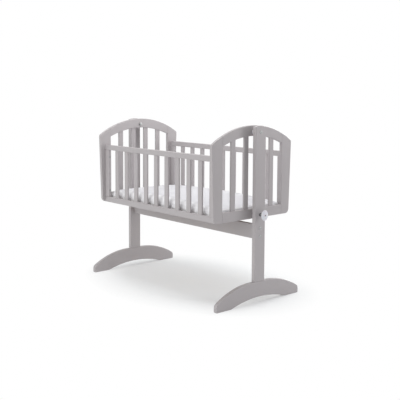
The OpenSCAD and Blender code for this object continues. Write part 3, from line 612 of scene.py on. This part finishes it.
pin = turned("lock_pin_rod", lock_height, [
    (486, 0), (486, 2.6), (486.4, 3.2), (487.4, 3.9), (488, 4), (555.4, 4), (556, 3.4), (556, 0)])
finish(pin, zinc, "lock", "lock_pin")

# The pin's outer end face, in the middle of the knob, is coloured dark brown.
pin.data.materials.append(plain_steel("dark brown steel", "#5A5044", "#6C6153"))
for face in pin.data.polygons:
    if face.normal.x > 0.5:
        face.material_index = 1

stop_ring = turned("lock_stop_ring_clip", lock_height, [
    (499.5, 4), (499.5, 6.7), (499.7, 7), (500.5, 7), (500.7, 6.7), (500.7, 4)])
gap = bar("gap in the ring", (499, -1.5, 429), (501.5, 1.5, 437), "X", 0.3, 0.1)
cut_away(stop_ring, gap)
finish(stop_ring, steel, "lock", "lock_stop_ring")

# The knob is drawn round, 53 mm across, and then narrowed to an oval. Its bore stays round.
knob_height, knob_width, bore_edge = 53, 45, 5
knob = turned("lock_knob_oval", lock_height, [
    (551, 4), (551, 24.9), (551.5, 26), (552.6, 26.5), (553.9, 26.3), (554.8, 25.3), (556.4, 20),
    (557.7, 14), (558.5, 9.5), (558.9, 6), (559, 4.8), (558.8, 4.2), (558.4, 4)])
only(knob)
bpy.ops.object.mode_set(mode="EDIT")
bpy.ops.mesh.select_all(action="SELECT")
for vertex in bmesh.from_edit_mesh(knob.data).verts:
    if math.hypot(vertex.co.y, vertex.co.z - lock_height * MM) < bore_edge * MM:
        vertex.select_set(False)
bmesh.update_edit_mesh(knob.data)
bpy.ops.transform.resize(value=(1, knob_width / knob_height, 1),
                         center_override=place(0, 0, lock_height))
bpy.ops.object.mode_set(mode="OBJECT")
finish(knob, white_nylon, "lock", "lock_knob")

eyelet = turned("lock_eyelet_cup", lock_height, [
    (456, 0), (456, 6.5), (472, 6.5), (472, 5), (471.7, 4.7), (458, 4.7), (458, 0)])
finish(eyelet, black_nylon, "cradle", "lock_eyelet")

# End panels -------------------------------------------------------------------------------------
# Two stiles, an arched top rail and a straight bottom rail, doweled together and sanded flush.
# Fine joint lines still show through the lacquer. Four slats stand in mortises between the rails.

panel_inner, panel_outer = 454, 472
panel_thickness = panel_outer - panel_inner
cradle_bottom, rail_top = 413, 463
stile_joint, half_foot, half_shoulder = 207, 263, 276.5
corner_radius, shoulder_radius = 24, 13

# The arch rail's top and its underside are arcs round these centres, given by their Y and Z.
top_centre, top_radius = Vector((0, 388.5)), 487
under_centre, under_radius = Vector((0, 315.5)), 508
slat_width, slat_rounding = 30, 2.5


def flush_joint(face):
    """The plane in which an end panel's stiles meet its rails."""
    middle = face.calc_center_median()
    return abs(face.normal.y) > 0.99 and abs(abs(middle.y) - stile_joint * MM) < 0.5 * MM


# The stile's outer edge leans out from its foot to the arch. A round corner joins it to the flat
# underside, and a round shoulder, which touches both the edge and the arch, ends it above.
stile_foot = Vector((half_foot, cradle_bottom))
lean = Vector((half_shoulder, circle_height(top_centre, top_radius, half_shoulder))) - stile_foot
lean.normalize()
inward = Vector((-lean[1], lean[0]))
corner_centre = (stile_foot + inward * corner_radius
                 + lean * (corner_radius * (1 - inward[1]) / lean[1]))
below = stile_foot + inward * shoulder_radius - top_centre
reach = top_radius - shoulder_radius
climb = math.sqrt(below.dot(lean) ** 2 - below.dot(below) + reach ** 2) - below.dot(lean)
shoulder_centre = top_centre + below + lean * climb

left_rear_stile = pen_at("left_end_rear_stile_board", -panel_outer, stile_joint, cradle_bottom)
line_to((corner_centre[0], cradle_bottom))
arc_to(corner_centre - inward, corner_centre, steps=8)
line_to(shoulder_centre - inward * shoulder_radius)
arc_to(shoulder_centre + (shoulder_centre - top_centre), shoulder_centre, steps=6)
arc_to((stile_joint, circle_height(top_centre, top_radius, stile_joint)), top_centre, steps=6)
saw_out(left_rear_stile, panel_thickness, 3, flush_joint)

# The arch rail's underside has a flatter curve than its top, so that it is deepest in the middle.
rail_end = 206.7
left_arch = pen_at("left_end_arch_board", -panel_outer, 0, top_centre[1] + top_radius)
arc_to((rail_end, circle_height(top_centre, top_radius, rail_end)), top_centre, steps=18)
line_to((rail_end, circle_height(under_centre, under_radius, rail_end)))
arc_to((0, under_centre[1] + under_radius), under_centre, steps=18)
mirror_across_y(left_arch)
saw_out(left_arch, panel_thickness, 3, flush_joint, crack=crack_depth)
drill(left_arch, -475, -450, 0, pivot_height, 14.1)

left_bottom = bar("left_end_bottom_board",
                  (-panel_outer, crack_depth - stile_joint, cradle_bottom),
                  (-panel_inner, stile_joint - crack_depth, rail_top),
                  "Y", 3, 1.2, crack=crack_depth)

left_slats = []
for y, top in ((-133.2, 818.6), (-44.4, 831.6), (44.4, 831.6), (133.2, 818.6)):
    left_slats.append(bar(f"left_end_slat_board_{len(left_slats) + 1}",
                          (-468, y - slat_width / 2, 454), (-458, y + slat_width / 2, top),
                          "Z", slat_rounding))
for rail in (left_arch, left_bottom):
    for slat in left_slats:
        cut_away(rail, copy_of(slat, "mortise"))


def finish_end(end, rear_stile, arch, bottom, slats):
    """Finishes an end panel's pieces, with a front stile that mirrors the rear one."""
    front_stile = copy_of(rear_stile, f"{end}_end_front_stile_board", y=-1)
    finish(front_stile, lacquer_z, "cradle", f"{end}_end_front_stile")
    finish(rear_stile, lacquer_z, "cradle", f"{end}_end_rear_stile")
    finish(arch, lacquer_y, "cradle", f"{end}_end_arch_rail")
    finish(bottom, lacquer_y, "cradle", f"{end}_end_bottom_rail")
    for number, slat in enumerate(slats, 1):
        finish(slat, lacquer_z, "cradle", f"{end}_end_slat_{number}")


finish_end("left", left_rear_stile, left_arch, left_bottom, left_slats)

# The right panel is copied from the finished left one, and its bottom rail is drilled for the
# eyelet.
right_rear_stile = copy_of(left_rear_stile, "right_end_rear_stile_board", x=-1)
right_arch = copy_of(left_arch, "right_end_arch_board", x=-1)
right_bottom = copy_of(left_bottom, "right_end_bottom_board", x=-1)
drill(right_bottom, 456, 480, 0, lock_height, 13)
right_slats = [copy_of(slat, f"right_end_slat_board_{number}", x=-1)
               for number, slat in enumerate(left_slats, 1)]
finish_end("right", right_rear_stile, right_arch, right_bottom, right_slats)
dress("end_panel_dowels", beech_y)

# Side panels ------------------------------------------------------------------------------------
# Each side has a slim top rail, a bottom rail, two stiles doweled between them and nine slats in
# mortises. The long edges are rounded over, because hands rest on the top rail.

side_inner, side_outer, side_middle = 228, 246, 237
slat_count, slat_pitch = 9, 87
corner_heights = (479, 667)
bolt_seat = -423.5

rear_top = bar("rear_top_board", (-panel_inner, side_inner, 707),
               (panel_inner, side_outer, 735), "X", 3)
rear_bottom = bar("rear_bottom_board", (-panel_inner, side_inner, cradle_bottom),
                  (panel_inner, side_outer, 443), "X", 3)
first_slat = bar("rear slat 1", (-363, 232, 434), (-363 + slat_width, 242, 716), "Z",
                 slat_rounding)
slat_row = [first_slat]
for number in range(1, slat_count):
    slat_row.append(copy_of(first_slat, f"rear slat {number + 1}",
                            shift=(slat_pitch * number, 0, 0)))
rear_slats = join("rear_slat_row", slat_row)
for rail in (rear_top, rear_bottom):
    cut_away(rail, copy_of(rear_slats, "mortises"))

# The bolts' heads lie in the wider part of each hole.
rear_left_stile = bar("rear_left_stile_board", (-panel_inner, side_inner, 443.6),
                      (-420, side_outer, 706.4), "Z", 3, 1, crack=0.6)
for height in corner_heights:
    drill(rear_left_stile, -460, -410, side_middle, height, bolt_hole)
    drill(rear_left_stile, bolt_seat, -410, side_middle, height, 12.6)
rear_right_stile = copy_of(rear_left_stile, "rear_right_stile_board", x=-1)

for node, part, material in (("top_rail", rear_top, lacquer_x),
                             ("bottom_rail", rear_bottom, lacquer_x),
                             ("left_stile", rear_left_stile, lacquer_z),
                             ("right_stile", rear_right_stile, lacquer_z),
                             ("slats", rear_slats, lacquer_z)):
    across = copy_of(part, part.name.replace("rear", "front"), y=-1)
    finish(part, material, "cradle", f"rear_{node}")
    finish(across, material, "cradle", f"front_{node}")
dress("side_panel_dowels", beech_z)

# Corner bolts -----------------------------------------------------------------------------------
# Eight furniture bolts go from inside the cradle through the side stiles into threaded inserts in
# the end panels. Their heads lie a little below the stiles' edges.

corner_low = socket_bolt("corner bolt", bolt_seat, side_middle, corner_heights[0],
                         head=12, shank=6, length=43.5)
corner_high = copy_of(corner_low, "upper", shift=(0, 0, corner_heights[1] - corner_heights[0]))
corner_pair = join("corner bolts", [corner_low, corner_high])
rear_four = both_ends("rear corner bolts", corner_pair)
corner_bolts = join("corner_bolt_set", [rear_four, copy_of(rear_four, "front", y=-1)])
finish(corner_bolts, zinc, "cradle", "corner_bolts")
dress("corner_inserts", steel)

# Base -------------------------------------------------------------------------------------------
# A sheet of 3 mm hardboard lies loose on two pine battens, which are screwed to the bottom rails.
# The CAD parts have the right shapes and stay.


def hardboard_sheet():
    """Wet-process hardboard: pressed wood fibre.

    It is chocolate brown with a smooth, faintly glossy face. Short matted fibres show in it, here
    about 2 mm long."""
    fibre_length = 2 * MM
    material, shader = new_material("hardboard, smooth face")
    shader.inputs["Roughness"].default_value = 0.55
    shader.inputs["IOR"].default_value = 1.5
    coords = add(material, "ShaderNodeTexCoord").outputs["Object"]
    fibres = add(material, "ShaderNodeTexNoise", {"Vector": coords, "Scale": 1 / fibre_length,
                 "Detail": 4, "Distortion": 1.5})
    tone = add(material, "ShaderNodeMix", {"Factor": fibres.outputs["Fac"],
               "A": linear("#5F452F"), "B": linear("#7D5E43")}, data_type="RGBA")
    material.node_tree.links.new(tone.outputs[2], shader.inputs["Base Color"])
    bump = add(material, "ShaderNodeBump",
               {"Height": fibres.outputs["Fac"], "Distance": 0.05 * MM, "Strength": 0.5})
    material.node_tree.links.new(bump.outputs["Normal"], shader.inputs["Normal"])
    return material


pine = bare_wood("planed pine, grain along X", "#E6CDA0", "#D3AE78", "X", 3 * MM, 0.6)
dress("batten_front", pine)
dress("batten_rear", pine)
dress("batten_screws", zinc)
dress("base_board", hardboard_sheet())

# Mattress ---------------------------------------------------------------------------------------
# A foam pad in a sewn white cotton cover. It is about 55 mm thick with a soft crown, its edges are
# rounded, the front one above all, and the cover lies in faint long creases.

pad_length, pad_width, pad_edge = 900, 446, 36
board_top = 431


def cotton_cover():
    """Closely woven white cotton over foam.

    It is matt with a faint sheen at grazing angles, and light scatters inside it. By which way the
    cover faces, its sides are painted brighter and its upper face a little greyer, as painted
    light. The real threads are 0.3 mm apart, and these are 2.4 mm, so that the weave shows."""
    thread_spacing = 2.4 * MM
    material, shader = new_material("woven white cotton")
    shader.inputs["Roughness"].default_value = 0.85
    shader.inputs["Sheen Weight"].default_value = 0.25
    shader.inputs["Sheen Roughness"].default_value = 0.4
    shader.inputs["Subsurface Weight"].default_value = 0.85
    shader.inputs["Subsurface Radius"].default_value = (1, 1, 1)
    shader.inputs["Subsurface Scale"].default_value = 30 * MM
    texture = add(material, "ShaderNodeTexCoord")

    # A wave texture repeats every pi / 10 at a scale of one.
    warp, weft, rise = (
        add(material, "ShaderNodeTexWave", {"Vector": texture.outputs["Object"],
            "Scale": math.pi / 10 / thread_spacing, "Distortion": 0.3}, bands_direction=axis)
        for axis in "XYZ")
    pair = add(material, "ShaderNodeMath", {0: warp.outputs["Fac"], 1: weft.outputs["Fac"]},
               operation="ADD")
    weave = add(material, "ShaderNodeMath", {0: pair.outputs["Value"], 1: rise.outputs["Fac"]},
                operation="ADD")
    # Painted light: the sides are painted brighter and the upper face greyer, by the direction of
    # the surface's normal.
    painted_light_facing = add(material, "ShaderNodeSeparateXYZ", {"Vector": texture.outputs["Normal"]})
    upper = add(material, "ShaderNodeMapRange",
                {"Value": painted_light_facing.outputs["Z"], "From Min": 0.92, "From Max": 0.99})
    tone = add(material, "ShaderNodeMix", {"Factor": upper.outputs["Result"],
               "A": linear("#F2F2F5"), "B": linear("#DCDCE1")}, data_type="RGBA")
    material.node_tree.links.new(tone.outputs[2], shader.inputs["Base Color"])
    bump = add(material, "ShaderNodeBump",
               {"Height": weave.outputs["Value"], "Distance": 0.2 * MM, "Strength": 0.35})
    material.node_tree.links.new(bump.outputs["Normal"], shader.inputs["Normal"])
    return material


only(None)
bpy.ops.mesh.primitive_cube_add(size=1, location=place(0, 0, board_top + pad_edge / 2),
                                scale=(pad_length * MM, pad_width * MM, pad_edge * MM))
mattress = new_piece("mattress_pad")
for side, rounding in ((-1, 31), (1, 12)):
    pick(mattress, "EDGE", lambda edge: any(face.normal.z > 0.99 for face in edge.link_faces)
         and any(face.normal.y * side > 0.99 for face in edge.link_faces))
    bpy.ops.mesh.bevel(offset=rounding * MM, segments=8, profile=0.5)
pick(mattress, "EDGE",
     lambda edge: sum(abs(face.normal.x) > 0.9 for face in edge.link_faces) == 1
     and not any(face.normal.z < -0.9 for face in edge.link_faces))
bpy.ops.mesh.bevel(offset=6 * MM, segments=3, profile=0.5)
bpy.ops.object.mode_set(mode="OBJECT")
bpy.ops.object.modifier_add(type="REMESH")
mattress.modifiers[0].mode = "VOXEL"
mattress.modifiers[0].voxel_size = 6.1 * MM
bpy.ops.object.modifier_apply(modifier=mattress.modifiers[0].name)

# The foam is thicker in the middle of the pad than at its edges. Its underside stays flat, and
# the crown is all there from 14 mm above it.
crown_along, crown_across, full_crown = 20 * MM, 4 * MM, 14 * MM
reach_along, reach_across = 450 * MM, 222 * MM
for vertex in mattress.data.vertices:
    part_along = (vertex.co.x - MIDDLE) / reach_along
    part_across = vertex.co.y / reach_across
    crown = crown_along * (1 - part_along ** 2) + crown_across * (1 - part_across ** 2)
    vertex.co.z += crown * min(1, (vertex.co.z - board_top * MM) / full_crown)


def swell(pad, most):
    """Blows a pad up as cloth over its stuffing, and lets no point move further than most."""
    frames = 20
    before = [vertex.co.copy() for vertex in pad.data.vertices]
    only(pad)
    bpy.ops.object.modifier_add(type="CLOTH")
    cloth = pad.modifiers[0]
    cloth.settings.use_pressure = True
    cloth.settings.uniform_pressure_force = 4
    cloth.settings.effector_weights.gravity = 0
    cloth.point_cache.frame_start = 1
    cloth.point_cache.frame_end = frames
    for moment in range(1, frames + 1):
        bpy.context.scene.frame_set(moment)
    bpy.ops.object.modifier_apply(modifier=cloth.name)
    bpy.context.scene.frame_set(1)
    for vertex, start in zip(pad.data.vertices, before):
        move = vertex.co - start
        if move.length > most:
            vertex.co = start + move * (most / move.length)


swell(mattress, 5 * MM)

# The pad rests flat on its board and keeps clear of the panels round it. The creases in its top
# are about 200 mm long and 36 mm apart.
clear_along, clear_across = 452.5 * MM, 226.5 * MM
crease, creased_from = 0.8 * MM, 465 * MM
for vertex in mattress.data.vertices:
    vertex.co.x = min(max(vertex.co.x, MIDDLE - clear_along), MIDDLE + clear_along)
    vertex.co.y = min(max(vertex.co.y, -clear_across), clear_across)
    if vertex.co.z > creased_from:
        vertex.co.z += crease * noise.noise((vertex.co.x * 5, vertex.co.y * 28, 0))
    vertex.co.z = max(vertex.co.z, (board_top + 0.2) * MM)
only(mattress)
bpy.ops.object.modifier_add(type="SUBSURF")
mattress.modifiers[0].levels = mattress.modifiers[0].render_levels = 1
bpy.ops.object.modifier_apply(modifier=mattress.modifiers[0].name)
bpy.ops.object.shade_smooth()
mattress.data.materials.append(cotton_cover())
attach(mattress, "cradle")
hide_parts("mattress")

# Floor, light and camera ------------------------------------------------------------------------
# The cradle stands on white studio paper, which runs out into a white backdrop. Four soft boxes
# light it: a small one above, a wide one in front, one beyond its right rear corner, one behind.


def seen(material):
    """Is 1 where a ray comes straight from the camera, or by way of metal or glass."""
    path = add(material, "ShaderNodeLightPath")
    direct = add(material, "ShaderNodeMath", {0: path.outputs["Is Camera Ray"],
                 1: path.outputs["Is Glossy Ray"]}, operation="MAXIMUM")
    either = add(material, "ShaderNodeMath", {0: direct.outputs["Value"],
                 1: path.outputs["Is Transmission Ray"]}, operation="MAXIMUM")
    return either.outputs["Value"]


def studio_floor():
    """Matt white paper.

    The camera sees it a little brighter than it is lit, so that it reads as a white background
    while the shadow under the stand stays. It fades to plain white in an oval round the stand."""
    oval_x, oval_y = 0.85, 0.6
    material = bpy.data.materials.new("white studio paper")
    material.use_nodes = True
    material.node_tree.nodes.clear()
    paper = add(material, "ShaderNodeBsdfDiffuse", {"Color": linear("#F2F4F6")})
    brighter = add(material, "ShaderNodeBsdfDiffuse", {"Color": (0.978, 1, 1.01, 1)})
    white = add(material, "ShaderNodeEmission", {"Color": (1, 1, 1, 1), "Strength": 1})
    coords = add(material, "ShaderNodeTexCoord").outputs["Object"]
    centred = add(material, "ShaderNodeMapping",
                  {"Vector": coords, "Location": (-MIDDLE / oval_x, -0.05 / oval_y, 0),
                   "Scale": (1 / oval_x, 1 / oval_y, 1)})
    distance = add(material, "ShaderNodeVectorMath", {0: centred.outputs["Vector"]},
                   operation="LENGTH")
    away = add(material, "ShaderNodeMapRange",
               {"Value": distance.outputs["Value"], "From Min": 0.55, "From Max": 0.9})
    near = add(material, "ShaderNodeMixShader", {0: away.outputs["Result"],
               1: brighter.outputs["BSDF"], 2: white.outputs["Emission"]})
    result = add(material, "ShaderNodeMixShader", {0: seen(material),
                 1: paper.outputs["BSDF"], 2: near.outputs["Shader"]})
    add(material, "ShaderNodeOutputMaterial", {"Surface": result.outputs["Shader"]})
    return material


only(None)
bpy.ops.mesh.primitive_circle_add(vertices=96, radius=6, fill_type="NGON",
                                  location=(MIDDLE, 0, 0))
floor = new_piece("studio_floor")
bpy.ops.object.mode_set(mode="OBJECT")
floor.data.materials.append(studio_floor())

world = bpy.data.worlds.new("studio")
bpy.context.scene.world = world
world.use_nodes = True
world.node_tree.nodes.clear()
ambient = add(world, "ShaderNodeBackground", {"Color": (1, 1, 1, 1), "Strength": 0.45})
backdrop = add(world, "ShaderNodeBackground", {"Color": (1, 1, 1, 1), "Strength": 1})
mixed = add(world, "ShaderNodeMixShader", {0: seen(world),
            1: ambient.outputs["Background"], 2: backdrop.outputs["Background"]})
add(world, "ShaderNodeOutputWorld", {"Surface": mixed.outputs["Shader"]})


def soft_box(name, size, position, watts, colour=(1, 1, 1)):
    """A square soft box that faces the middle of the cradle. Its size is in metres."""
    bpy.ops.object.light_add(type="AREA", location=position)
    lamp = bpy.context.object
    lamp.name = lamp.data.name = name
    lamp.data.size = size
    lamp.data.energy = watts
    lamp.data.color = colour
    aim = Vector((MIDDLE, 0, 0.5)) - Vector(position)
    lamp.rotation_euler = aim.to_track_quat("-Z", "Y").to_euler()


soft_box("soft box above", 0.9, (MIDDLE, -0.1, 1.9), 9.2)
soft_box("soft box front", 3.4, (-0.1, -4, 1.6), 66, (1, 1.007, 1))
soft_box("soft box right rear", 1.4, (2.45, 2.1, 1.4), 17.5, (1, 0.965, 0.995))
soft_box("soft box rear", 2, (0, 4, 2), 96)

# The camera stands 4 m from the stand's middle and 1.07 m above the floor. Its place, its angles
# and its lens fit the photograph's straight edges. The lens is shifted down by as much as the
# photograph's framing needs: the optical axis meets the frame at row 148 of its 400.
image_size, axis_row, focal_pixels, sensor_width = 400, 148, 749.6, 36
yaw, pitch, roll = (math.radians(angle) for angle in (48.575, 4.720, 0.272))
forward = Vector((-math.sin(yaw) * math.cos(pitch), math.cos(yaw) * math.cos(pitch),
                  -math.sin(pitch)))
level = Vector((math.cos(yaw), math.sin(yaw), 0))
upward = level.cross(forward)
camera_x = level * math.cos(roll) + upward * math.sin(roll)
camera_y = upward * math.cos(roll) - level * math.sin(roll)
only(None)
bpy.ops.object.camera_add()
camera = bpy.context.object
camera.matrix_world = Matrix.Translation(place(3053.40, -2628.94, 1066.08)) @ Matrix(
    (camera_x, camera_y, -forward)).transposed().to_4x4()
camera.data.sensor_width = sensor_width
camera.data.lens = focal_pixels * sensor_width / image_size
camera.data.shift_y = -(image_size / 2 - axis_row) / image_size
bpy.context.scene.camera = camera
bpy.context.scene.view_settings.view_transform = "Standard"
